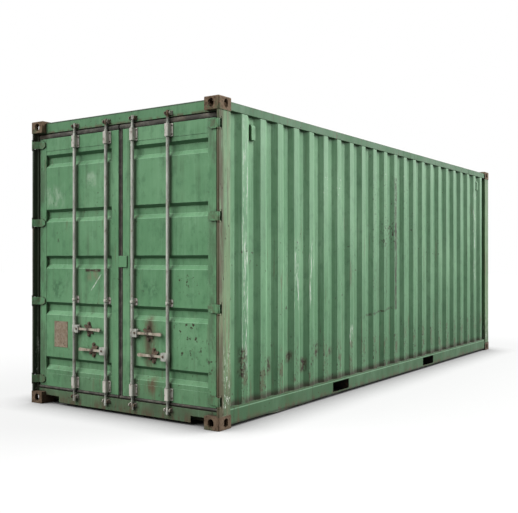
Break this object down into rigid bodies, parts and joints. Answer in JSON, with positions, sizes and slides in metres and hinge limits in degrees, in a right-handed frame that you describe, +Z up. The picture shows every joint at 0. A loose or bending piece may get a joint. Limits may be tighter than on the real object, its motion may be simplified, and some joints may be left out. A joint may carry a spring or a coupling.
{
  "type": "freight container",
  "caption": "Closed steel freight container with corrugated walls, double end doors with lock rods and lifting handles, fork pockets and slotted corner castings.",
  "frame": {"origin": "centre of the footprint on the ground", "axes": "+Y from the door end to the closed end, +X to the right when facing the doors, +Z up"},
  "size_m": [2.438, 7.315, 2.896],
  "materials": {
    "green_paint": "worn satin",
    "worn_casting": "rusted",
    "gear_steel": "galvanised, worn",
    "handle_steel": "galvanised, rusted",
    "seal_rubber": "dull",
    "floor_plywood": "sealed",
    "underbody_paint": "dull"
  },
  "bodies": {
    "frame": {"bottom_corner_castings": "worn_casting", "top_corner_castings": "worn_casting", "left_door_post": "green_paint", "right_door_post": "green_paint", "hinge_lugs": "green_paint", "door_header": "green_paint", "door_sill": "green_paint", "left_rear_post": "green_paint", "right_rear_post": "green_paint", "rear_header": "green_paint", "rear_sill": "green_paint", "left_top_side_rail": "green_paint", "right_top_side_rail": "green_paint", "left_bottom_side_rail": "green_paint", "right_bottom_side_rail": "green_paint", "left_side_wall": "green_paint", "right_side_wall": "green_paint", "rear_wall": "green_paint", "roof_panel": "green_paint", "fork_pockets": "underbody_paint", "cross_members": "underbody_paint", "floor_boards": "floor_plywood", "side_vents": "green_paint", "cam_keepers": "gear_steel"},
    "left_door": {"left_door_stiles": "green_paint", "left_door_rails": "green_paint", "left_door_panel": "green_paint", "left_door_gasket": "seal_rubber", "left_door_hinges": "green_paint", "left_rod_guides": "gear_steel", "left_handle_retainers": "gear_steel"},
    "right_door": {"right_door_stiles": "green_paint", "right_door_rails": "green_paint", "right_door_panel": "green_paint", "right_door_gasket": "seal_rubber", "right_door_hinges": "green_paint", "right_rod_guides": "gear_steel", "right_handle_retainers": "gear_steel", "centre_tab": "green_paint"},
    "left_outer_rod": {"left_outer_lock_rod": "gear_steel"},
    "left_outer_handle": {"left_outer_handle": "handle_steel"},
    "left_inner_rod": {"left_inner_lock_rod": "gear_steel"},
    "left_inner_handle": {"left_inner_handle": "handle_steel"},
    "right_inner_rod": {"right_inner_lock_rod": "gear_steel"},
    "right_inner_handle": {"right_inner_handle": "handle_steel"},
    "right_outer_rod": {"right_outer_lock_rod": "gear_steel"},
    "right_outer_handle": {"right_outer_handle": "handle_steel"}
  },
  "joints": [
    {"name": "left_door_swing", "type": "hinge", "parent": "frame", "child": "left_door", "pos_m": [-1.207, -3.6455, 0], "axis": [0, 0, -1], "range_deg": [0, 270]},
    {"name": "right_door_swing", "type": "hinge", "parent": "frame", "child": "right_door", "pos_m": [1.207, -3.6455, 0], "axis": [0, 0, 1], "range_deg": [0, 270]},
    {"name": "left_outer_rod_turn", "type": "hinge", "parent": "left_door", "child": "left_outer_rod", "pos_m": [-0.611, -3.6235, 0], "axis": [0, 0, 1], "range_deg": [-105, 0]},
    {"name": "left_outer_handle_lift", "type": "hinge", "parent": "left_outer_rod", "child": "left_outer_handle", "pos_m": [-0.567, -3.6275, 0.791], "axis": [0, -1, 0], "range_deg": [0, 25]},
    {"name": "left_inner_rod_turn", "type": "hinge", "parent": "left_door", "child": "left_inner_rod", "pos_m": [-0.174, -3.6235, 0], "axis": [0, 0, -1], "range_deg": [-105, 0]},
    {"name": "left_inner_handle_lift", "type": "hinge", "parent": "left_inner_rod", "child": "left_inner_handle", "pos_m": [-0.218, -3.6275, 0.591], "axis": [0, 1, 0], "range_deg": [0, 25]},
    {"name": "right_inner_rod_turn", "type": "hinge", "parent": "right_door", "child": "right_inner_rod", "pos_m": [0.174, -3.6235, 0], "axis": [0, 0, 1], "range_deg": [-105, 0]},
    {"name": "right_inner_handle_lift", "type": "hinge", "parent": "right_inner_rod", "child": "right_inner_handle", "pos_m": [0.218, -3.6275, 0.791], "axis": [0, -1, 0], "range_deg": [0, 25]},
    {"name": "right_outer_rod_turn", "type": "hinge", "parent": "right_door", "child": "right_outer_rod", "pos_m": [0.611, -3.6235, 0], "axis": [0, 0, -1], "range_deg": [-105, 0]},
    {"name": "right_outer_handle_lift", "type": "hinge", "parent": "right_outer_rod", "child": "right_outer_handle", "pos_m": [0.567, -3.6275, 0.591], "axis": [0, 1, 0], "range_deg": [0, 25]}
  ]
}
